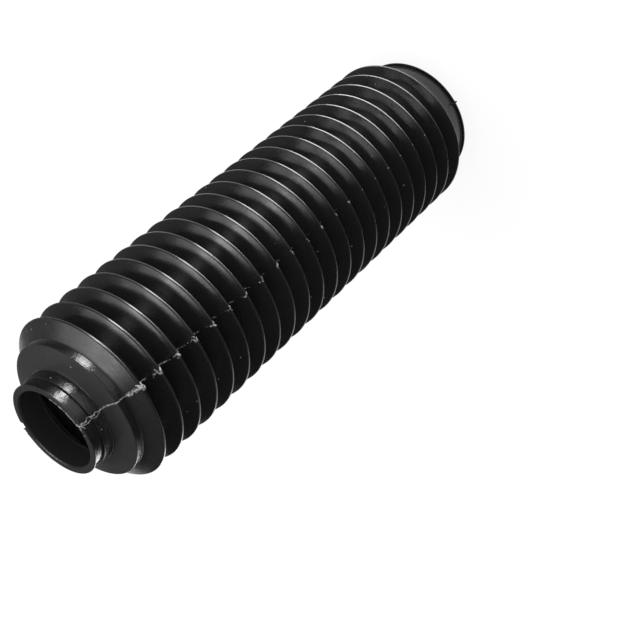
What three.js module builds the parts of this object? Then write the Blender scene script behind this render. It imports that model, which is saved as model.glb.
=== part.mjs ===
// A rubber bellows for the front fork of a motorbike: one moulded tube of round folds.
// It stands on its wide collar at Z = 0, with the narrow neck at the top.
// All sizes are in millimetres.

import * as THREE from 'three';

// Folds
const foldCount = 22;
const foldPitch = 10.2;
const crestRadius = 37;
const rootRadius = 29.4;
const crestLand = 0.9;
const foldWall = 1.7;

// Wide collar, from its open face to the first fold
const collarBore = 26.1;
const collarWall = 3.3;
const collarLipHeight = 1.2;
const collarLipProud = 1.3;
const collarSeatHeight = 5.9;
const collarBandHeight = 2.8;
const collarBandProud = 0.8;
const collarFlankHeight = 6.9;
const collarLipRound = 0.5;
const collarMouthBevel = 0.8;

// Narrow neck, from its open face to the stepped shoulder
const neckBore = 17.7;
const neckWall = 2.1;
const neckLipHeight = 0.7;
const neckLipProud = 0.9;
const neckSeatHeight = 4.3;
const neckBandHeight = 4.8;
const neckBandProud = 1.0;
const neckLipRound = 0.25;
const neckMouthBevel = 0.5;

// Stepped shoulder between the neck and the last fold
const lowerConeHeight = 2.0;
const stepRadius = 30.1;
const stepHeight = 3.2;
const stepRimProud = 0.4;
const stepRimHeight = 0.8;
const upperConeHeight = 4.2;

// Small bevel on each lip's back edge and each raised edge
const bandEdge = 0.3;

// Facets
const facetsAround = 36;
const facetsPerRound = 2;

// Heights that follow from the sizes above
const collarHeight = collarLipHeight + collarSeatHeight + collarBandHeight;
const firstCrest = collarHeight + collarFlankHeight;
const lastCrest = firstCrest + (foldCount - 1) * foldPitch;
const neckHeight = neckLipHeight + neckSeatHeight + neckBandHeight;
const shoulderHeight = lowerConeHeight + stepRimHeight + stepHeight + upperConeHeight;
const totalHeight = lastCrest + shoulderHeight + neckHeight;

// How far a flank runs along the axis for each millimetre that it rises
const flankSlope = (foldPitch - crestLand) / 2 / (crestRadius - rootRadius);

const at = (radius, height) => new THREE.Vector2(radius, height);

// The wall's thickness, measured along the axis, of a flank with this slope
function wallAlongAxis(slope) {
  return foldWall * Math.hypot(1, slope);
}

// Quarter of a circle from one edge of a lip to the other, as seen in the section
function quarterRound(centreRadius, centreHeight, size, startAngle) {
  const points = [];
  for (let step = 0; step <= facetsPerRound; step += 1) {
    const angle = startAngle + (step / facetsPerRound) * (Math.PI / 2);
    points.push(at(centreRadius + size * Math.cos(angle), centreHeight + size * Math.sin(angle)));
  }
  return points;
}

// Lip, seat for the clamping band, and raised band behind it, measured from the open face.
// The outline starts inside the mouth and ends at the root of the raised band.
function endOutline(end) {
  const { bore, mouthBevel, lipRound, lipHeight, seatHeight, bandHeight } = end;
  const seat = bore + end.wall;
  const lip = seat + end.lipProud;
  const band = seat + end.bandProud;
  const seatEnd = lipHeight + seatHeight;
  return [
    at(bore, mouthBevel),
    at(bore + mouthBevel, 0),
    ...quarterRound(lip - lipRound, lipRound, lipRound, -Math.PI / 2),
    at(lip, lipHeight - bandEdge),
    at(lip - bandEdge, lipHeight),
    at(seat, lipHeight),
    at(seat, seatEnd),
    at(band - bandEdge, seatEnd),
    at(band, seatEnd + bandEdge),
    at(band, seatEnd + bandHeight),
  ];
}

function collarOutline() {
  return endOutline({
    bore: collarBore,
    mouthBevel: collarMouthBevel,
    wall: collarWall,
    lipRound: collarLipRound,
    lipHeight: collarLipHeight,
    lipProud: collarLipProud,
    seatHeight: collarSeatHeight,
    bandHeight: collarBandHeight,
    bandProud: collarBandProud,
  });
}

// The neck is the same outline, turned over and hung from the top face
function neckOutline() {
  const outline = endOutline({
    bore: neckBore,
    mouthBevel: neckMouthBevel,
    wall: neckWall,
    lipRound: neckLipRound,
    lipHeight: neckLipHeight,
    lipProud: neckLipProud,
    seatHeight: neckSeatHeight,
    bandHeight: neckBandHeight,
    bandProud: neckBandProud,
  });
  return outline.map((point) => at(point.x, totalHeight - point.y)).reverse();
}

// Narrow flat crests and sharp roots, from the lowest fold to the highest
function foldsOutside() {
  const points = [];
  for (let fold = 0; fold < foldCount; fold += 1) {
    const height = firstCrest + fold * foldPitch;
    points.push(at(crestRadius, height - crestLand / 2));
    points.push(at(crestRadius, height + crestLand / 2));
    if (fold < foldCount - 1) {
      points.push(at(rootRadius, height + foldPitch / 2));
    }
  }
  return points;
}

// The step ring and the rim of the lower cone, from the highest fold up to the neck
function shoulderOutside() {
  const stepStart = lastCrest + upperConeHeight;
  const rimStart = stepStart + stepHeight;
  const rim = stepRadius + stepRimProud;
  return [
    at(stepRadius, stepStart),
    at(stepRadius, rimStart),
    at(rim, rimStart + bandEdge),
    at(rim, rimStart + stepRimHeight),
  ];
}

// The inside of the shoulder, from the neck's bore down to the highest fold
function shoulderInside() {
  const stepStart = lastCrest + upperConeHeight;
  const rim = stepStart + stepHeight + stepRimHeight;
  const band = neckBore + neckWall + neckBandProud;
  const coneSlope = lowerConeHeight / (stepRadius + stepRimProud - band);
  const innerStep = stepRadius - foldWall;
  const underCone = rim - wallAlongAxis(coneSlope);
  const upperSlope = (upperConeHeight - crestLand / 2) / (crestRadius - stepRadius);
  return [
    at(neckBore, underCone + (stepRadius + stepRimProud - neckBore) * coneSlope),
    at(innerStep, underCone + (stepRadius + stepRimProud - innerStep) * coneSlope),
    at(innerStep, stepStart + foldWall * upperSlope - wallAlongAxis(upperSlope)),
  ];
}

// The inside follows the folds at an even wall, from the highest fold to the lowest
function foldsInside() {
  const shift = wallAlongAxis(flankSlope);
  const innerCrest = crestRadius - (shift - crestLand / 2) / flankSlope;
  const innerRoot = rootRadius - foldWall;
  const rootLand = shift - foldWall * flankSlope;
  const points = [];
  for (let fold = foldCount - 1; fold >= 0; fold -= 1) {
    const height = firstCrest + fold * foldPitch;
    points.push(at(innerCrest, height));
    if (fold > 0) {
      points.push(at(innerRoot, height - foldPitch / 2 + rootLand));
      points.push(at(innerRoot, height - foldPitch / 2 - rootLand));
    }
  }
  return points;
}

// The bore of the collar, up to where it opens into the lowest fold
function collarInside() {
  const band = collarBore + collarWall + collarBandProud;
  const slope = (collarFlankHeight - crestLand / 2) / (crestRadius - band);
  return [at(collarBore, collarHeight - (band - collarBore) * slope + wallAlongAxis(slope))];
}

function bellowsProfile() {
  const profile = [
    ...collarOutline(),
    ...foldsOutside(),
    ...shoulderOutside(),
    ...neckOutline(),
    ...shoulderInside(),
    ...foldsInside(),
    ...collarInside(),
  ];
  profile.push(profile[0].clone());
  return profile;
}

function makeBellows() {
  const geometry = new THREE.LatheGeometry(bellowsProfile(), facetsAround);
  geometry.rotateX(Math.PI / 2);
  const rubber = new THREE.MeshStandardMaterial({ color: 0x1b1c1d, roughness: 0.42, metalness: 0 });
  const bellows = new THREE.Mesh(geometry, rubber);
  bellows.name = 'bellows';
  return bellows;
}

const part = new THREE.Group();
part.add(makeBellows());

export default part;
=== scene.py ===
import math
import random

import bmesh
import bpy
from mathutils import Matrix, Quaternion, Vector
from mathutils.kdtree import KDTree


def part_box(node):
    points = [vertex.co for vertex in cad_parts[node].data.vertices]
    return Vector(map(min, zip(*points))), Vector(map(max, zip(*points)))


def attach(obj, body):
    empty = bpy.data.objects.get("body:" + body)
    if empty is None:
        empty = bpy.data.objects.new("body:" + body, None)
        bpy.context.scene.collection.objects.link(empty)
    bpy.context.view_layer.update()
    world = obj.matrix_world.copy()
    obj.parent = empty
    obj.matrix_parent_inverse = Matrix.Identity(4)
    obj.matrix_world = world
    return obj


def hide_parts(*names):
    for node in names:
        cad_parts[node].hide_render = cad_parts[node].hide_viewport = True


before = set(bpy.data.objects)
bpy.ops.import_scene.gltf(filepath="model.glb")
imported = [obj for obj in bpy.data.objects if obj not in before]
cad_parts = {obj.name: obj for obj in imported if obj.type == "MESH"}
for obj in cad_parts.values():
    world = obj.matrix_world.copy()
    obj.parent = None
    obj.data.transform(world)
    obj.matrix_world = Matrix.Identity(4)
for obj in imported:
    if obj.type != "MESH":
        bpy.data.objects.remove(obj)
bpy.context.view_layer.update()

lowest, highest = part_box("bellows")
mm = 0.001

bellowsShape = {
    "crestRadius": highest[0],   # over the folds, from the frame
    "totalHeight": highest[2],
    "folds": 22,
    "pitch": 10.2 * mm,
    "rootRadius": 29.4 * mm,
    "crestLand": 0.9 * mm,       # flat rim of each fold
    "crestRound": 0.27 * mm,
    "rootRound": 0.7 * mm,
    "innerCrestRound": 0.8 * mm,
    "innerRootRound": 0.5 * mm,
    "flankBulge": 0.12 * mm,     # how far a flank swells between crest and root
    "wall": 1.7 * mm,
    "stepsAround": 144,
    "smoothAngle": 35,           # degrees; sharper edges stay crisp
}

collarShape = {
    "bore": 26.1 * mm,
    "wall": 3.3 * mm,
    "lipHeight": 1.2 * mm,
    "lipProud": 1.3 * mm,
    "seatHeight": 5.9 * mm,
    "bandHeight": 2.8 * mm,
    "bandProud": 0.8 * mm,
    "flankHeight": 6.9 * mm,     # from the raised band to the first crest
    "draft": 0.0 * mm,
    "lipRound": 0.5 * mm,
    "lipBackRound": 0.55 * mm,
    "lipFillet": 0.7 * mm,
    "mouthBevel": 0.8 * mm,
    "edgeRound": 0.25 * mm,
    "seatFillet": 0.15 * mm,
    "bandFillet": 0.5 * mm,
}

neckShape = {
    "bore": 17.7 * mm,
    "wall": 2.1 * mm,
    "lipHeight": 0.7 * mm,
    "lipProud": 0.9 * mm,
    "seatHeight": 4.3 * mm,
    "bandHeight": 4.8 * mm,
    "bandProud": 1.0 * mm,
    "draft": 0.08 * mm,          # how far the raised band tapers each way
    "lipRound": 0.25 * mm,
    "lipBackRound": 0.2 * mm,
    "lipFillet": 0.2 * mm,
    "mouthBevel": 0.5 * mm,
    "edgeRound": 0.2 * mm,
    "seatFillet": 0.15 * mm,
    "bandFillet": 0.5 * mm,
}

shoulderShape = {
    "lowerCone": 2.0 * mm,
    "stepRadius": 30.1 * mm,
    "stepHeight": 3.2 * mm,
    "rimProud": 0.4 * mm,
    "rimHeight": 0.8 * mm,
    "upperCone": 4.2 * mm,
    "rimRound": 0.25 * mm,
    "stepFillet": 0.3 * mm,
}

tiny = 0.01 * mm             # starting squares, and gaps that are closed
samePlace = 0.02 * mm        # points nearer than this are the same


# Edit-mode helpers
def deselectEverything():
    if bpy.context.object and bpy.context.object.mode != "OBJECT":
        bpy.ops.object.mode_set(mode="OBJECT")
    bpy.ops.object.select_all(action="DESELECT")


def firstPoint(name, radius, height):
    deselectEverything()
    bpy.ops.mesh.primitive_plane_add(size=mm, location=(radius, 0, height))
    piece = bpy.context.object
    piece.name = name
    piece.data.name = name
    bpy.ops.object.mode_set(mode="EDIT")
    bpy.ops.mesh.select_all(action="SELECT")
    bpy.ops.mesh.merge(type="CENTER")
    return piece


def drawOutline(name, points):
    piece = firstPoint(name, *points[0])
    here = points[0]
    for point in points[1:]:
        move = (point[0] - here[0], 0, point[1] - here[1])
        bpy.ops.mesh.extrude_region_move(TRANSFORM_OT_translate={"value": move})
        here = point
    bpy.ops.object.mode_set(mode="OBJECT")
    bpy.ops.object.transform_apply(location=True, rotation=True, scale=True)
    return piece


def selectNear(piece, places):
    # picks the outline's points that lie at these (radius, height) places
    bpy.ops.object.mode_set(mode="EDIT")
    bpy.ops.mesh.select_all(action="DESELECT")
    bpy.ops.mesh.select_mode(type="VERT")
    mesh = bmesh.from_edit_mesh(piece.data)
    for vertex in mesh.verts:
        vertex.select = any(
            abs(vertex.co.x - radius) < samePlace and abs(vertex.co.z - height) < samePlace
            for radius, height in places
        )
    mesh.select_flush(True)
    bmesh.update_edit_mesh(piece.data)


def roundCorners(piece, places, size, segments):
    selectNear(piece, places)
    bpy.ops.mesh.bevel(offset=size, segments=segments, affect="VERTICES")


# Outline of the moulding, as (radius, height) points
def endPoints(end):
    seat = end["bore"] + end["wall"]
    lip = seat + end["lipProud"]
    band = seat + end["bandProud"]
    seatEnd = end["lipHeight"] + end["seatHeight"]
    return {
        "mouthInner": (end["bore"], end["mouthBevel"]),
        "mouthFace": (end["bore"] + end["mouthBevel"], 0),
        "lipFront": (lip, 0),
        "lipBack": (lip, end["lipHeight"]),
        "seatStart": (seat, end["lipHeight"]),
        "seatEnd": (seat, seatEnd),
        "bandFront": (band - end["draft"], seatEnd),
        "bandRoot": (band + end["draft"], seatEnd + end["bandHeight"]),
    }


def turnedOver(point):
    return (point[0], bellowsShape["totalHeight"] - point[1])


def alongAxis(slope):
    # thickness of a sloping wall, measured along the axis
    return bellowsShape["wall"] * math.hypot(1, slope)


collarPoints = endPoints(collarShape)
neckPoints = {key: turnedOver(point) for key, point in endPoints(neckShape).items()}
crest = bellowsShape["crestRadius"]
root = bellowsShape["rootRadius"]
halfLand = bellowsShape["crestLand"] / 2
firstCrest = collarPoints["bandRoot"][1] + collarShape["flankHeight"]
crestHeights = [firstCrest + fold * bellowsShape["pitch"] for fold in range(bellowsShape["folds"])]
rootHeights = [height + bellowsShape["pitch"] / 2 for height in crestHeights[:-1]]
flankRun = bellowsShape["pitch"] / 2 - halfLand
flankSlope = flankRun / (crest - root)
lastCrest = crestHeights[-1]
stepStart = lastCrest + shoulderShape["upperCone"]
rimStart = stepStart + shoulderShape["stepHeight"]
rimEnd = rimStart + shoulderShape["rimHeight"]
step = shoulderShape["stepRadius"]
rim = step + shoulderShape["rimProud"]
upperSlope = (shoulderShape["upperCone"] - halfLand) / (crest - step)


def flankMiddle(crestEdge, rootPoint, bulge):
    # the middle of a flank, swollen outwards
    run = Vector((rootPoint[0] - crestEdge[0], rootPoint[1] - crestEdge[1]))
    side = Vector((abs(run.y), abs(run.x) * (1 if run.y > 0 else -1))).normalized()
    middle = Vector(crestEdge) + run / 2 + side * bulge
    return (middle.x, middle.y)


def outsidePoints():
    points = [collarPoints[key] for key in endPoints(collarShape)]
    for fold, height in enumerate(crestHeights):
        points.append((crest, height - halfLand))
        points.append((crest, height + halfLand))
        if fold < len(rootHeights):
            rootPoint = (root, rootHeights[fold])
            nextEdge = (crest, crestHeights[fold + 1] - halfLand)
            points.append(flankMiddle(points[-1], rootPoint, bellowsShape["flankBulge"]))
            points.append(rootPoint)
            points.append(flankMiddle(nextEdge, rootPoint, bellowsShape["flankBulge"]))
    points += [(step, stepStart), (step, rimStart), (rim, rimStart), (rim, rimEnd)]
    points += [neckPoints[key] for key in reversed(list(endPoints(neckShape)))]
    return points


def insidePoints():
    band = neckPoints["bandRoot"][0]
    coneSlope = shoulderShape["lowerCone"] / (rim - band)
    underCone = rimEnd - alongAxis(coneSlope)
    innerStep = step - bellowsShape["wall"]
    points = [
        (neckShape["bore"], underCone + (rim - neckShape["bore"]) * coneSlope),
        (innerStep, underCone + (rim - innerStep) * coneSlope),
        (innerStep, stepStart + bellowsShape["wall"] * upperSlope - alongAxis(upperSlope)),
    ]
    shift = alongAxis(flankSlope)
    innerCrest = crest - (shift - halfLand) / flankSlope
    rootLand = shift - bellowsShape["wall"] * flankSlope
    innerRoot = root - bellowsShape["wall"]
    for fold in reversed(range(len(crestHeights))):
        points.append((innerCrest, crestHeights[fold]))
        if fold > 0:
            points.append((innerRoot, rootHeights[fold - 1] + rootLand))
            points.append((innerRoot, rootHeights[fold - 1] - rootLand))
    collarBand = collarPoints["bandRoot"]
    slope = (collarShape["flankHeight"] - halfLand) / (crest - collarBand[0])
    boreEnd = collarBand[1] - (collarBand[0] - collarShape["bore"]) * slope + alongAxis(slope)
    points.append((collarShape["bore"], boreEnd))
    return points


def shapeOutline():
    outside, inside = outsidePoints(), insidePoints()
    outline = drawOutline("bellows_moulding", outside + inside + [outside[0]])
    bpy.ops.object.mode_set(mode="EDIT")
    bpy.ops.mesh.select_all(action="SELECT")
    bpy.ops.mesh.remove_doubles(threshold=tiny)
    crestEdges = [(crest, height + side * halfLand) for height in crestHeights for side in (-1, 1)]
    # each row holds some corners, the size of their round and its segments
    rows = [
        (crestEdges, bellowsShape["crestRound"], 3),
        ([(root, height) for height in rootHeights], bellowsShape["rootRound"], 4),
        ([point for point in inside if point[0] > root], bellowsShape["innerCrestRound"], 3),
        ([point for point in inside if point[0] < root], bellowsShape["innerRootRound"], 3),
    ]
    for points, end in ((collarPoints, collarShape), (neckPoints, neckShape)):
        rows += [
            ([points["lipFront"]], end["lipRound"], 5),
            ([points["lipBack"]], end["lipBackRound"], 4),
            ([points["bandFront"]], end["edgeRound"], 3),
            ([points["mouthInner"], points["mouthFace"]], end["edgeRound"], 3),
            ([points["seatStart"]], end["lipFillet"], 4),
            ([points["seatEnd"]], end["seatFillet"], 2),
            ([points["bandRoot"]], end["bandFillet"], 3),
        ]
    rows += [
        ([(rim, rimStart), (rim, rimEnd)], shoulderShape["rimRound"], 3),
        ([(step, stepStart), (step, rimStart)], shoulderShape["stepFillet"], 2),
    ]
    for corners, size, segments in rows:
        roundCorners(outline, corners, size, segments)
    print("outline drawn,", len(outline.data.vertices), "points")
    return outline


def spinOutline(piece):
    bpy.ops.mesh.select_all(action="SELECT")
    bpy.ops.mesh.spin(
        steps=bellowsShape["stepsAround"],
        angle=2 * math.pi,
        center=(0, 0, 0),
        axis=(0, 0, 1),
        use_auto_merge=True,
    )
    bpy.ops.mesh.select_all(action="SELECT")
    bpy.ops.mesh.remove_doubles(threshold=tiny / 2)
    bpy.ops.mesh.normals_make_consistent(inside=False)
    bpy.ops.object.mode_set(mode="OBJECT")
    bpy.ops.object.shade_smooth_by_angle(angle=math.radians(bellowsShape["smoothAngle"]))
    bpy.ops.object.modifier_add(type="WEIGHTED_NORMAL")
    piece.modifiers[-1].keep_sharp = True
    bpy.ops.object.modifier_apply(modifier=piece.modifiers[-1].name)
    print("bellows spun,", len(piece.data.polygons), "faces")


flashShape = {
    "pace": 0.55 * mm,           # distance between two points of the line
    "proud": 0.14 * mm,          # how far the line stands out
    "line": 0.27 * mm,           # half thickness of the thin line in the valleys
    "wander": 0.24 * mm,         # how far it strays from the parting plane
    "knotReach": 1.7 * mm,       # how far a knot reaches from its crest
    "knotSwing": 0.85 * mm,      # how far it curls to each side
    "knot": 0.42 * mm,
    "ridge": 1.0 * mm,           # half thickness of the lump over the highest crest and the upper cone
    "rope": 0.34 * mm,           # half thickness on the neck and the lower cone
    "twist": 0.32 * mm,          # how far the rope winds from side to side
    "twistPace": 1.9,
    "burr": 0.24 * mm,
    "gapChance": 0.05,           # chance that the line breaks off on a flank
    "gapPoints": 3,              # longest gap
    "tornFolds": 14,             # folds with ragged bits beside the knot
    "tornBit": 0.38 * mm,
    "roughening": 0.12 * mm,
    "frontSeed": 11,
    "backSeed": 47,
}

# how heavy the tear is, along the part's height from 0 to 1
tearShape = {
    "faintest": 0.38,
    "fadeStart": 0.3,
    "fadeLength": 0.45,
    "topExtra": 0.55,            # more for the highest folds
    "topStart": 0.78,
    "topLength": 0.1,
}

lipNick = {
    "middle": 4.6 * mm,
    "halfWidth": 1.5 * mm,
    "depth": 1.0 * mm,
    "push": (1.1 * mm, -0.2 * mm, -0.15 * mm),
}


# Parting line: torn flash down each side of the moulding, in the plane of X and Z
def alongTheSide():
    keys = ("lipFront", "lipBack", "seatStart", "seatEnd", "bandFront", "bandRoot")
    points = [neckPoints[key] for key in keys]
    points += [(rim, rimEnd), (step, rimStart), (step, stepStart)]
    for fold in reversed(range(len(crestHeights))):
        points.append((crest, crestHeights[fold]))
        if fold > 0:
            points.append((root, rootHeights[fold - 1]))
    return points + [collarPoints[key] for key in reversed(keys)]


def evenSteps(points, pace):
    # the same path, in steps of about this length
    path = [points[0]]
    for start, end in zip(points, points[1:]):
        steps = max(1, round(math.dist(start, end) / pace))
        for count in range(1, steps + 1):
            part = count / steps
            path.append((start[0] + (end[0] - start[0]) * part, start[1] + (end[1] - start[1]) * part))
    return path


def flashThickness(radius, height, chance):
    # rope on the neck, line on the step, lump down to the highest crest, then knots and line
    ropeStart, lineStart, ridgeStart = rimEnd - 0.5 * mm, stepStart - 0.6 * mm, lastCrest - 1.2 * mm
    if height > ropeStart:
        return flashShape["rope"] * chance.uniform(0.6, 1.25)
    if height > lineStart:
        return flashShape["line"] * chance.uniform(0.7, 1.2)
    if height > ridgeStart:
        return flashShape["ridge"] * chance.uniform(0.65, 1.25)
    if radius > crest - flashShape["knotReach"]:
        return flashShape["knot"] * chance.uniform(0.6, 1.3)
    return flashShape["line"] * chance.uniform(0.5, 1.3)


def tearStrength(height):
    # the tear is heavy near the neck and fades to a thin line towards the collar
    part = height / highest[2]
    strength = min(1, max(tearShape["faintest"], (part - tearShape["fadeStart"]) / tearShape["fadeLength"]))
    if height < lastCrest:
        top = min(1, max(0, (part - tearShape["topStart"]) / tearShape["topLength"]))
        strength += tearShape["topExtra"] * top
    return strength


def flashRoute(side, chance):
    # points as (x, y, z, half thickness)
    route = []
    swing, lean, bend = 1, 0.0, 0.9
    gap = 0
    knotStart = crest - flashShape["knotReach"]
    for radius, height in evenSteps(alongTheSide(), flashShape["pace"]):
        heavy = tearStrength(height)
        thick = flashThickness(radius, height, chance) * (0.45 + 0.55 * heavy)
        sideways = chance.uniform(-1, 1) * flashShape["wander"]
        sunk = 0.0
        onFlank = root + 0.5 * mm < radius < knotStart and height < lastCrest
        if onFlank and gap == 0 and chance.random() < flashShape["gapChance"]:
            gap = chance.randint(1, flashShape["gapPoints"])
        if gap > 0:
            gap -= 1
            sunk = thick + 0.1 * mm if onFlank else 0.0
        nearest = min(crestHeights, key=lambda level: abs(level - height))
        if radius > knotStart and height < lastCrest + 0.5 * mm:
            # one curl to each side of a crest
            phase = (nearest - height) / flankSlope / flashShape["knotReach"]
            curl = math.sin((phase + lean) * math.pi * bend) * flashShape["knotSwing"]
            sideways += swing * curl * chance.uniform(0.6, 1.3) * heavy
            sunk -= chance.uniform(0, 0.12) * mm
        else:
            swing = chance.choice((-1, 1, 1)) * chance.uniform(0.45, 1.15)
            lean, bend = chance.uniform(-0.35, 0.35), chance.uniform(0.6, 1.5)
        if height > rimEnd:
            sideways += math.sin((height - rimEnd) / mm * flashShape["twistPace"]) * flashShape["twist"]
        outwards = radius + flashShape["proud"] * heavy - sunk
        route.append((side * outwards, side * sideways, height, thick))
    return route


def burrRoute(start, end, radius, height, thick, chance):
    # a ragged edge that follows a mouth from one angle to another
    count = max(2, round(math.radians(abs(end - start)) * radius / flashShape["pace"]))
    route = []
    for index in range(count + 1):
        angle = math.radians(start + (end - start) * index / count)
        edge = radius + chance.uniform(-0.22, 0.1) * mm
        level = height + chance.uniform(-0.15, 0.02) * mm
        size = thick * chance.uniform(0.45, 1.2)
        route.append((edge * math.cos(angle), edge * math.sin(angle), level, size))
    return route


def tornBits(side, chance):
    # short ragged strings beside the knots of the highest folds
    routes = []
    for index, level in enumerate(reversed(crestHeights[-flashShape["tornFolds"]:])):
        amount = 1 - 0.55 * index / flashShape["tornFolds"]
        for way in (-1, 1):
            sideways = way * chance.uniform(0.1, 0.7) * mm * amount
            height = level + chance.uniform(-0.5, 0.7) * mm
            route = []
            for count in range(chance.randint(3, 4)):
                radius = crest - max(0, abs(height - level) - halfLand) / flankSlope
                across = side * (radius + chance.uniform(0, 0.2) * mm)
                thick = flashShape["tornBit"] * amount * chance.uniform(0.6, 1.2)
                route.append((across, side * sideways, height, thick))
                sideways += way * chance.uniform(0.25, 0.55) * mm * amount
                height += chance.uniform(-0.55, 0.45) * mm
            routes.append(route)
    return routes


def drawRoute(route):
    # adds one string of points to the piece that is open in edit mode
    bpy.ops.mesh.primitive_plane_add(size=tiny, location=route[0][:3])
    bpy.ops.mesh.merge(type="CENTER")
    for here, there in zip(route, route[1:]):
        move = tuple(there[axis] - here[axis] for axis in range(3))
        bpy.ops.mesh.extrude_region_move(TRANSFORM_OT_translate={"value": move})


def thickenRoutes(piece, routes):
    # sizes are sorted into a few steps, each set by one resize from Blender's own size
    skinSize = 0.25
    mesh = bmesh.from_edit_mesh(piece.data)
    places = [point for route in routes for point in route]
    tree = KDTree(len(places))
    for index, point in enumerate(places):
        tree.insert(point[:3], index)
    tree.balance()
    sizes = [places[tree.find(vertex.co)[1]][3] for vertex in mesh.verts]
    stepSize = 0.04 * mm
    for level in sorted({round(size / stepSize) for size in sizes}):
        mesh = bmesh.from_edit_mesh(piece.data)
        mesh.verts.ensure_lookup_table()
        for vertex, size in zip(mesh.verts, sizes):
            vertex.select = round(size / stepSize) == level
        mesh.select_flush(True)
        mesh.select_flush(False)
        bmesh.update_edit_mesh(piece.data)
        times = level * stepSize / skinSize
        bpy.ops.transform.skin_resize(value=(times, times, times))


def markStarts(piece, routes):
    # the first point of each string becomes its root
    mesh = bmesh.from_edit_mesh(piece.data)
    for vertex in mesh.verts:
        vertex.select = any((vertex.co - Vector(route[0][:3])).length < samePlace for route in routes)
    bmesh.update_edit_mesh(piece.data)
    bpy.ops.object.skin_root_mark()


def layFlash(name, routes, seed):
    deselectEverything()
    bpy.ops.mesh.primitive_plane_add(size=tiny)
    piece = bpy.context.object
    piece.name = name
    piece.data.name = name
    bpy.ops.object.mode_set(mode="EDIT")
    bpy.ops.mesh.select_mode(type="VERT")
    bpy.ops.mesh.select_all(action="SELECT")
    bpy.ops.mesh.delete(type="VERT")
    for route in routes:
        bpy.ops.mesh.select_all(action="DESELECT")
        drawRoute(route)
    bpy.ops.object.mode_set(mode="OBJECT")
    bpy.ops.object.modifier_add(type="SKIN")
    bpy.ops.object.mode_set(mode="EDIT")
    markStarts(piece, routes)
    thickenRoutes(piece, routes)
    bpy.ops.object.mode_set(mode="OBJECT")
    bpy.ops.object.modifier_add(type="SUBSURF")
    for modifier in [modifier.name for modifier in piece.modifiers]:
        bpy.ops.object.modifier_apply(modifier=modifier)
    bpy.ops.object.mode_set(mode="EDIT")
    bpy.ops.mesh.select_all(action="SELECT")
    bpy.ops.transform.vertex_random(offset=flashShape["roughening"], seed=seed)
    bpy.ops.mesh.normals_make_consistent(inside=False)
    bpy.ops.object.mode_set(mode="OBJECT")
    print(name, "laid,", len(piece.data.polygons), "faces")
    return piece


def frontFlash():
    chance = random.Random(flashShape["frontSeed"])
    main = flashRoute(1, chance)
    top, bore = highest[2], neckShape["bore"]
    # a second string curls beside the first one over the band and the seat
    curl = []
    steps = 21
    for index in range(steps + 1):
        part = index / steps
        level = top - 9.0 * mm + part * 9.1 * mm
        ring = neckPoints["bandRoot"][0] if part < 0.5 else neckPoints["seatEnd"][0]
        swing = (0.55 + 0.75 * abs(math.sin(part * 7.2))) * mm
        sideways = chance.uniform(-0.1, 0.1) * mm - swing
        curl.append((ring + 0.12 * mm, sideways, level, chance.uniform(0.14, 0.3) * mm))
    # a torn lump on the highest crest, beside the line
    lump = [
        (crest + 0.1 * mm, 0.2 * mm, lastCrest + 0.2 * mm, 0.5 * mm),
        (crest + 0.1 * mm, 0.9 * mm, lastCrest + 0.5 * mm, 0.55 * mm),
        (crest - 0.3 * mm, 1.5 * mm, lastCrest + 0.9 * mm, 0.35 * mm),
        (crest - 0.9 * mm, 1.9 * mm, lastCrest + 1.2 * mm, 0.2 * mm),
    ]
    mouth = burrRoute(2, 46, bore + 0.35 * mm, top, flashShape["burr"], chance)
    tail = burrRoute(3, -14, bore + 1.5 * mm, top, 0.3 * mm, chance)
    lip = neckPoints["lipFront"][0]
    hook = [
        (bore + 0.3 * mm, 0.6 * mm, top - 0.1 * mm, 0.32 * mm),
        (bore + 1.3 * mm, 0.1 * mm, top, 0.36 * mm),
        (lip - 0.3 * mm, -0.3 * mm, top - 0.1 * mm, 0.3 * mm),
        (lip + 0.1 * mm, -1.2 * mm, top - 0.5 * mm, 0.24 * mm),
        (lip - 0.2 * mm, -2.0 * mm, top - 1.1 * mm, 0.18 * mm),
    ]
    collarLip = collarPoints["lipFront"][0]
    tick = [
        (collarLip - 1.3 * mm, 0.9 * mm, 2.4 * mm, 0.35 * mm),
        (collarLip - 0.9 * mm, 0.4 * mm, 1.6 * mm, 0.55 * mm),
        (collarLip - 0.2 * mm, 0.0 * mm, 1.1 * mm, 0.65 * mm),
        (collarLip + 0.7 * mm, 0.5 * mm, 1.0 * mm, 0.5 * mm),
        (collarLip + 1.4 * mm, 0.1 * mm, 0.7 * mm, 0.25 * mm),
    ]
    strings = [main, curl, lump, mouth, tail, hook, tick] + tornBits(1, chance)
    return layFlash("flash_front", strings, flashShape["frontSeed"])


def backFlash():
    chance = random.Random(flashShape["backSeed"])
    lip = neckPoints["lipFront"][0]
    top = highest[2]
    spike = [
        (-(lip - 0.5 * mm), 2.6 * mm, top - 0.3 * mm, 0.42 * mm),
        (-(lip + 0.2 * mm), 2.7 * mm, top - 0.3 * mm, 0.34 * mm),
        (-(lip + 0.8 * mm), 2.6 * mm, top - 0.35 * mm, 0.2 * mm),
    ]
    strings = [flashRoute(-1, chance), spike] + tornBits(-1, chance)
    return layFlash("flash_back", strings, flashShape["backSeed"])


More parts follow.
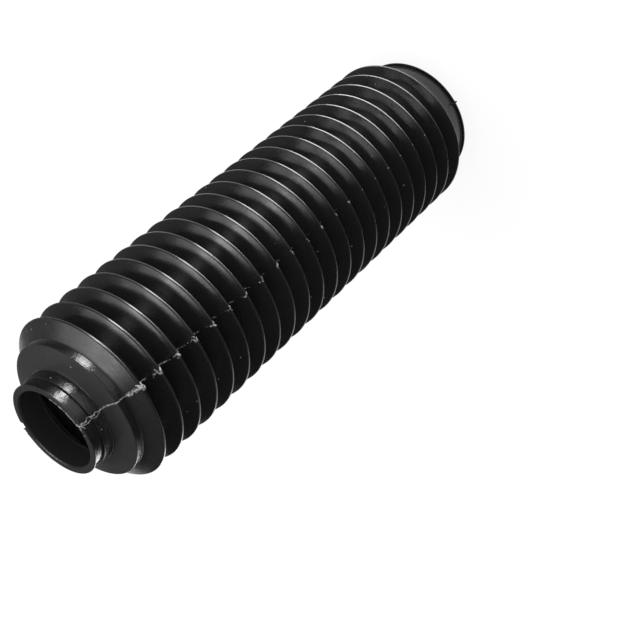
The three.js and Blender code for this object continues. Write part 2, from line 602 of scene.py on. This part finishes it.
def nickTheLip(piece):
    # the neck's lip is torn where the parting line crosses it at the back
    bpy.ops.object.mode_set(mode="EDIT")
    bpy.ops.mesh.select_all(action="DESELECT")
    mesh = bmesh.from_edit_mesh(piece.data)
    for vertex in mesh.verts:
        place = vertex.co
        inTheNick = abs(place.y - lipNick["middle"]) < lipNick["halfWidth"] and place.x < 0
        onTheLip = math.hypot(place.x, place.y) > neckPoints["seatStart"][0] + 0.05 * mm
        nearTheTop = place.z > highest[2] - lipNick["depth"]
        vertex.select = inTheNick and onTheLip and nearTheTop
    mesh.select_flush(True)
    bmesh.update_edit_mesh(piece.data)
    bpy.ops.transform.translate(value=lipNick["push"])
    bpy.ops.mesh.select_all(action="DESELECT")
    bpy.ops.object.mode_set(mode="OBJECT")


# Materials
class Signal:
    # a node's output that Python arithmetic can work with
    def __init__(self, tree, socket):
        self.tree = tree
        self.socket = socket

    def math(self, kind, *others):
        node = self.tree.nodes.new("ShaderNodeMath")
        node.operation = kind
        for place, value in enumerate((self, *others)):
            if isinstance(value, Signal):
                self.tree.links.new(value.socket, node.inputs[place])
            else:
                node.inputs[place].default_value = value
        return Signal(self.tree, node.outputs[0])

    def __add__(self, other):
        return self.math("ADD", other)

    def __mul__(self, other):
        return self.math("MULTIPLY", other)

    def __sub__(self, other):
        return self.math("SUBTRACT", other)

    def __rsub__(self, other):
        return (self * -1) + other

    def __truediv__(self, other):
        return self.math("DIVIDE", other)


class Finish:
    # one material, or the world, and the nodes that make it
    def __init__(self, owner):
        self.material = bpy.data.materials.new(owner) if isinstance(owner, str) else owner
        self.material.use_nodes = True
        self.tree = self.material.node_tree
        self.tree.nodes.clear()

    def add(self, kind, settings, inputs):
        node = self.tree.nodes.new(kind)
        for key, value in settings.items():
            setattr(node, key, value)
        for key, value in inputs.items():
            if isinstance(value, Signal):
                self.tree.links.new(value.socket, node.inputs[key])
            else:
                node.inputs[key].default_value = value
        return node

    def output(self, node, key):
        return Signal(self.tree, node.outputs[key])

    def blend(self, factor, first, second):
        # from the first colour at 0 to the second at 1
        inputs = {"Factor": factor, "A": first, "B": second}
        return self.output(self.add("ShaderNodeMix", {"data_type": "RGBA"}, inputs), 2)


rubberColours = {
    "dark": (0.0052, 0.0054, 0.0058, 1),
    "light": (0.0104, 0.0106, 0.0114, 1),
    "specks": (0.20, 0.20, 0.19, 1),
    # a pale tone that paints light inside the tube and a sheen on the cones
    "paintedLightTone": (0.060, 0.061, 0.0625, 1),
}

# how much of the pale colour shows, from 0 to 1: painted light inside the tube, where it shows fully, and in
# the neck's bore, and a painted sheen on the cones; the specks are real dust
speckDustAndPaintedLight = {
    "mouth": 0.14,
    "cone": 0.15,
    "upperCone": 0.09,
    "speckSpread": 150.0,
    "speckSize": 0.04,
}

rubberMarks = {
    "clouds": {"Scale": 38.0, "Detail": 4.0, "Roughness": 0.55},
    "grain": {"Scale": 2600.0, "Detail": 2.0, "Roughness": 0.55},
    "handling": {"Scale": 160.0, "Detail": 5.0, "Roughness": 0.65},
    "smears": {"Scale": 70.0, "Detail": 4.0, "Roughness": 0.7},
    "wipes": {"Scale": 1.0, "Detail": 4.0, "Roughness": 0.6},
    "peel": {"Scale": 800.0, "Detail": 3.0, "Roughness": 0.55},
    "waves": {"Scale": 210.0, "Detail": 2.0, "Roughness": 0.55},
}

# what each mark and each part of the moulding adds to the roughness, and the least it comes to
rubberRoughness = {
    "smears": 0.34,
    "wipes": 0.30,
    "handling": 0.12,
    "offset": -0.15,
    "least": 0.09,
    "neck": -0.03,
    "cone": 0.2,
    "upperCone": 0.06,
    "inside": 0.3,
    "specks": 0.3,
}

# how much each mark stands out
rubberRelief = {
    "grain": 0.05,
    "handling": 0.10,
    "waves": 0.22,
    "wipes": 0.06,
    "peel": 0.05,
    "neckPeel": 0.5,
    "depth": 0.2 * mm,
}


def partMasks(radius, up):
    # 1 on one part of the moulding and 0 elsewhere, from the radius and the height
    def above(level):
        return up.math("GREATER_THAN", level)

    def below(level):
        return up.math("LESS_THAN", level)

    cone = above(rimEnd) - above(neckPoints["bandRoot"][1])
    # the wall's outer side zigzags with the folds, and the inside lies well within it
    outerSide = crest - (up - firstCrest).math("PINGPONG", bellowsShape["pitch"] / 2) / flankSlope
    inFolds = (radius + 1.0 * mm).math("LESS_THAN", outerSide) * above(firstCrest) * below(lastCrest)
    inCollar = radius.math("LESS_THAN", collarShape["bore"] + 0.4 * mm) * below(lastCrest)
    shoulderSide = (crest - (up - lastCrest) / upperSlope).math("MAXIMUM", step)
    inShoulder = (radius + 0.9 * mm).math("LESS_THAN", shoulderSide) * above(lastCrest) * below(rimEnd)
    inShoulder = inShoulder * radius.math("GREATER_THAN", neckShape["bore"])
    return {
        "cone": cone,
        "neck": above(stepStart) - cone,
        "upperCone": (above(lastCrest + halfLand) - above(stepStart)) * (1 - inShoulder),
        "mouth": radius.math("LESS_THAN", neckShape["bore"] + 0.2 * mm),
        "tube": inFolds.math("MAXIMUM", inCollar).math("MAXIMUM", inShoulder),
    }


def rubberFinish():
    finish = Finish("black_rubber")
    place = finish.output(finish.add("ShaderNodeTexCoord", {}, {}), "Object")
    axes = finish.add("ShaderNodeSeparateXYZ", {}, {"Vector": place})
    x, y, z = (finish.output(axes, name) for name in ("X", "Y", "Z"))
    radius = (x * x + y * y).math("SQRT")
    masks = partMasks(radius, z)

    # smears are drawn out round the part, and wipe marks follow the folds
    stretched = finish.add("ShaderNodeMapping", {}, {"Vector": place, "Scale": (1, 1, 3.5)})
    turned = y.math("ARCTAN2", x) * 2.2
    along = finish.add("ShaderNodeCombineXYZ", {}, {"X": radius * 620.0, "Y": turned, "Z": z * 620.0})
    coordinates = {"smears": finish.output(stretched, "Vector"), "wipes": finish.output(along, "Vector")}
    marks = {}
    for key, settings in rubberMarks.items():
        inputs = {"Vector": coordinates.get(key, place), **settings}
        marks[key] = finish.output(finish.add("ShaderNodeTexNoise", {}, inputs), 0)

    cells = finish.add("ShaderNodeTexVoronoi", {}, {"Vector": place, "Scale": speckDustAndPaintedLight["speckSpread"]})
    specks = finish.output(cells, "Distance").math("LESS_THAN", speckDustAndPaintedLight["speckSize"])
    # painted light inside the tube and the neck's bore, and a painted sheen on the cones
    paintedLightAmount = masks["tube"]
    for key in ("mouth", "cone", "upperCone"):
        paintedLightAmount = paintedLightAmount + masks[key] * speckDustAndPaintedLight[key]
    colour = finish.blend(marks["clouds"], rubberColours["dark"], rubberColours["light"])
    colour = finish.blend(specks, colour, rubberColours["specks"])
    # the painted light and sheen go in as a paler colour
    colour = finish.blend(paintedLightAmount, colour, rubberColours["paintedLightTone"])

    inside = masks["tube"].math("MAXIMUM", masks["mouth"])
    roughness = marks["smears"] * rubberRoughness["smears"] + marks["wipes"] * rubberRoughness["wipes"]
    roughness = roughness + marks["handling"] * rubberRoughness["handling"] + rubberRoughness["offset"]
    roughness = roughness.math("MAXIMUM", rubberRoughness["least"])
    for key in ("neck", "cone", "upperCone"):
        roughness = roughness + masks[key] * rubberRoughness[key]
    roughness = roughness + inside * rubberRoughness["inside"] + specks * rubberRoughness["specks"]

    height = marks["peel"] * (masks["neck"] * rubberRelief["neckPeel"] + rubberRelief["peel"])
    for key in ("grain", "handling", "waves", "wipes"):
        height = height + marks[key] * rubberRelief[key]
    bump = finish.add(
        "ShaderNodeBump", {}, {"Height": height, "Strength": 1.0, "Distance": rubberRelief["depth"]}
    )
    shader = finish.add(
        "ShaderNodeBsdfPrincipled",
        {},
        {
            "Base Color": colour,
            "Roughness": roughness,
            "IOR": 1.5,
            "Normal": finish.output(bump, "Normal"),
        },
    )
    finish.add("ShaderNodeOutputMaterial", {}, {"Surface": finish.output(shader, "BSDF")})
    return finish.material


# torn edges of the same rubber, paler because they are rough
tornLook = {
    "dark": (0.02, 0.02, 0.021, 1),
    "pale": (0.36, 0.36, 0.36, 1),
    "roughness": 0.4,
    "patches": 1300.0,
    "contrast": 3.0,
    "offset": 1.05,
    "fading": 1.5,               # for each metre below the highest crest
    "collarFading": 0.5,
    "collarHeight": 3.0 * mm,
    # painted shade that darkens the line in the valleys
    "paintedValleyShade": 0.22,
    "valleyDepth": 1.9 * mm,     # below the crests
    "valleyStart": 33.0 * mm,    # below the highest crest
}


def flashFinish():
    finish = Finish("torn_rubber")
    place = finish.output(finish.add("ShaderNodeTexCoord", {}, {}), "Object")
    noise = finish.add(
        "ShaderNodeTexNoise", {}, {"Vector": place, "Scale": tornLook["patches"], "Detail": 2.0}
    )
    axes = finish.add("ShaderNodeSeparateXYZ", {}, {"Vector": place})
    across, height = (finish.output(axes, name) for name in ("X", "Z"))
    # the line is paler near the neck and at the crests, and dark at the collar's lip; in the valleys it is
    # darkened by painted shade
    fading = (lastCrest - height) * tornLook["fading"]
    fading = fading + height.math("LESS_THAN", tornLook["collarHeight"]) * tornLook["collarFading"]
    # painted shade on the line where it lies in the valleys
    valleyShadeMask = across.math("ABSOLUTE").math("LESS_THAN", crest - tornLook["valleyDepth"])
    valleyShadeMask = valleyShadeMask * height.math("LESS_THAN", lastCrest - tornLook["valleyStart"])
    fading = fading + valleyShadeMask * tornLook["paintedValleyShade"]
    pale = finish.output(noise, 0) * tornLook["contrast"] - tornLook["offset"] - fading
    colour = finish.blend(pale, tornLook["dark"], tornLook["pale"])
    shader = finish.add(
        "ShaderNodeBsdfPrincipled", {}, {"Base Color": colour, "Roughness": tornLook["roughness"]}
    )
    finish.add("ShaderNodeOutputMaterial", {}, {"Surface": finish.output(shader, "BSDF")})
    return finish.material


roomLook = {
    "softLight": 1.0,
    "mirrored": 0.025,           # what reflections see of the room
    "paperGlow": 0.9,            # the rest of the floor takes a soft shadow
    "lampLift": 4 * mm,
    "cardLift": 0.5 * mm,
}


def paperFinish():
    # the floor shows white to the eye and in reflections, and still takes a soft shadow
    finish = Finish("white_paper")
    rays = finish.add("ShaderNodeLightPath", {}, {})
    seen = finish.output(rays, "Is Camera Ray").math("MAXIMUM", finish.output(rays, "Is Glossy Ray"))
    seen = seen.math("MAXIMUM", finish.output(rays, "Is Transmission Ray"))
    matt = finish.add("ShaderNodeBsdfDiffuse", {}, {"Color": (0.9, 0.9, 0.9, 1)})
    glow = finish.add("ShaderNodeEmission", {}, {"Color": (1, 1, 1, 1), "Strength": 1.0})
    mix = finish.add(
        "ShaderNodeMixShader",
        {},
        {
            0: seen * roomLook["paperGlow"],
            1: finish.output(matt, "BSDF"),
            2: finish.output(glow, "Emission"),
        },
    )
    finish.add("ShaderNodeOutputMaterial", {}, {"Surface": finish.output(mix, "Shader")})
    return finish.material


# Studio, where directions are an azimuth from +X and an elevation from the horizon, in degrees
cameraPlace = {
    "target": Vector((12.8, -36.2, 127.0)) * mm,
    "distance": 513.3 * mm,
    "azimuth": 19.5,
    "elevation": 36.68,
    "roll": -134.14,             # the photograph shows the part lying down
    "lens": 67.04,               # for a picture 36 mm wide
}


def pointing(azimuth, elevation):
    azimuth, elevation = math.radians(azimuth), math.radians(elevation)
    level = math.cos(elevation)
    return Vector((math.cos(azimuth) * level, math.sin(azimuth) * level, math.sin(elevation)))


def placeCamera():
    back = pointing(cameraPlace["azimuth"], cameraPlace["elevation"])
    deselectEverything()
    bpy.ops.object.camera_add(location=cameraPlace["target"] + back * cameraPlace["distance"])
    camera = bpy.context.object
    camera.name = "photo_camera"
    camera.rotation_mode = "QUATERNION"
    turn = (-back).to_track_quat("-Z", "Y") @ Quaternion((0, 0, 1), math.radians(cameraPlace["roll"]))
    camera.rotation_quaternion = turn
    camera.data.lens = cameraPlace["lens"]
    camera.data.sensor_width = 36
    camera.data.clip_start = 0.01
    camera.data.clip_end = 50
    bpy.context.scene.camera = camera


# these hang round the middle of the part and point at it
hungLamps = {
    "overhead_softbox": {"azimuth": 92, "elevation": 76, "distance": 1.5, "size": (0.60, 0.62), "power": 5.6},
    "side_softbox": {"azimuth": 123, "elevation": 61, "distance": 1.5, "size": (0.95, 0.68), "power": 4.2},
    "far_softbox": {"azimuth": 54, "elevation": 70, "distance": 1.5, "size": (0.85, 0.36), "power": 1.9},
    "zenith_softbox": {"azimuth": 180, "elevation": 86, "distance": 1.5, "size": (0.34, 0.34), "power": 0.6},
    "fill_softbox": {"azimuth": 172, "elevation": 30, "distance": 0.9, "size": (1.7, 0.7), "power": 0.62},
    "cone_softbox": {"azimuth": 190, "elevation": 53, "distance": 0.9, "size": (0.36, 0.36), "power": 0.2},
}

# these lie on the floor and shine up
floorLamps = {
    "near_strip": {"azimuth": 59, "distance": 0.175, "size": (0.25, 0.12), "power": 0.9},
    "far_strip": {"azimuth": 59, "distance": 0.60, "size": (0.56, 0.14), "power": 5.0},
    "low_strip": {"azimuth": -125, "distance": 0.60, "size": (0.40, 0.30), "power": 1.2},
    # stands for the light that enters through the collar when the part lies down
    "tube_light": {"azimuth": 0, "distance": 0, "size": (0.034, 0.034), "power": 0.1, "mirrored": False},
}

# black cards on the floor keep its white out of some reflections
blackCards = {
    "card_near": {"azimuth": -41, "start": 0.045, "size": (0.285, 0.36), "slant": (0.49, -0.19)},
    "card_right": {"azimuth": -45, "start": 0.33, "size": (0.7, 1.0), "slant": (0, 0)},
    "card_left": {"azimuth": 130, "start": 0.33, "size": (0.7, 1.0), "slant": (0, 0)},
}


def addLamp(name, place, location, turn):
    deselectEverything()
    bpy.ops.object.light_add(type="AREA", location=location)
    lamp = bpy.context.object
    lamp.name = name
    lamp.rotation_mode = "QUATERNION"
    lamp.rotation_quaternion = turn
    lamp.data.shape = "RECTANGLE"
    lamp.data.size, lamp.data.size_y = place["size"]
    lamp.data.energy = place["power"]
    lamp.visible_camera = False
    lamp.visible_glossy = place.get("mirrored", True)


def hangLamp(name, place):
    way = pointing(place["azimuth"], place["elevation"])
    middle = (lowest + highest) / 2
    addLamp(name, place, middle + way * place["distance"], (-way).to_track_quat("-Z", "Y"))


def layLamp(name, place):
    turn = Quaternion((0, 0, 1), math.radians(place["azimuth"])) @ Quaternion((1, 0, 0), math.pi)
    location = pointing(place["azimuth"], 0) * place["distance"]
    location.z = roomLook["lampLift"]
    addLamp(name, place, location, turn)


def slantCard(card, slant):
    # moves the near and the far corner of one side, in parts of the card's width
    bpy.ops.object.mode_set(mode="EDIT")
    bpy.ops.mesh.select_mode(type="VERT")
    for end, move in zip((-1, 1), slant):
        mesh = bmesh.from_edit_mesh(card.data)
        for vertex in mesh.verts:
            vertex.select = vertex.co.x * end > 0 and vertex.co.y < 0
        mesh.select_flush(False)
        bmesh.update_edit_mesh(card.data)
        bpy.ops.transform.translate(value=(0, move, 0))
    bpy.ops.object.mode_set(mode="OBJECT")


def layCard(name, place, finish):
    deselectEverything()
    bpy.ops.mesh.primitive_plane_add(size=1)
    card = bpy.context.object
    card.name = name
    slantCard(card, place["slant"])
    card.scale = (*place["size"], 1)
    card.rotation_euler = (0, 0, math.radians(place["azimuth"]))
    card.location = pointing(place["azimuth"], 0) * (place["start"] + place["size"][0] / 2)
    card.location.z = roomLook["cardLift"]
    card.data.materials.append(finish)
    card.visible_camera = False
    card.visible_shadow = False
    card.visible_diffuse = False


def cardFinish():
    finish = Finish("black_card")
    matt = finish.add("ShaderNodeBsdfDiffuse", {}, {"Color": (0.002, 0.002, 0.002, 1)})
    finish.add("ShaderNodeOutputMaterial", {}, {"Surface": finish.output(matt, "BSDF")})
    return finish.material


def layFloor():
    deselectEverything()
    bpy.ops.mesh.primitive_plane_add(size=40, location=(0, 0, 0))
    floor = bpy.context.object
    floor.name = "white_floor"
    floor.data.materials.append(paperFinish())


def lightTheRoom():
    # white to the eye and as soft light, dim in reflections
    world = bpy.context.scene.world or bpy.data.worlds.new("studio")
    bpy.context.scene.world = world
    world.use_nodes = True
    room = Finish(world)
    rays = room.add("ShaderNodeLightPath", {}, {})
    white = room.add("ShaderNodeBackground", {}, {"Color": (1, 1, 1, 1), "Strength": roomLook["softLight"]})
    dim = room.add("ShaderNodeBackground", {}, {"Color": (1, 1, 1, 1), "Strength": roomLook["mirrored"]})
    mix = room.add(
        "ShaderNodeMixShader",
        {},
        {
            0: room.output(rays, "Is Glossy Ray"),
            1: room.output(white, "Background"),
            2: room.output(dim, "Background"),
        },
    )
    room.add("ShaderNodeOutputWorld", {}, {"Surface": room.output(mix, "Shader")})


bpy.context.scene.view_settings.view_transform = "Standard"
placeCamera()
print("camera placed")

rubber = rubberFinish()
bellows = shapeOutline()
spinOutline(bellows)
nickTheLip(bellows)
bellows.data.materials.append(rubber)
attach(bellows, "root")
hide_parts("bellows")

flashRubber = flashFinish()
for flash in (frontFlash(), backFlash()):
    flash.data.materials.append(flashRubber)
    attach(flash, "root")

layFloor()
cardBlack = cardFinish()
for cardName, cardPlace in blackCards.items():
    layCard(cardName, cardPlace, cardBlack)
for lampName, lampPlace in hungLamps.items():
    hangLamp(lampName, lampPlace)
for lampName, lampPlace in floorLamps.items():
    layLamp(lampName, lampPlace)
lightTheRoom()
print("studio lit")
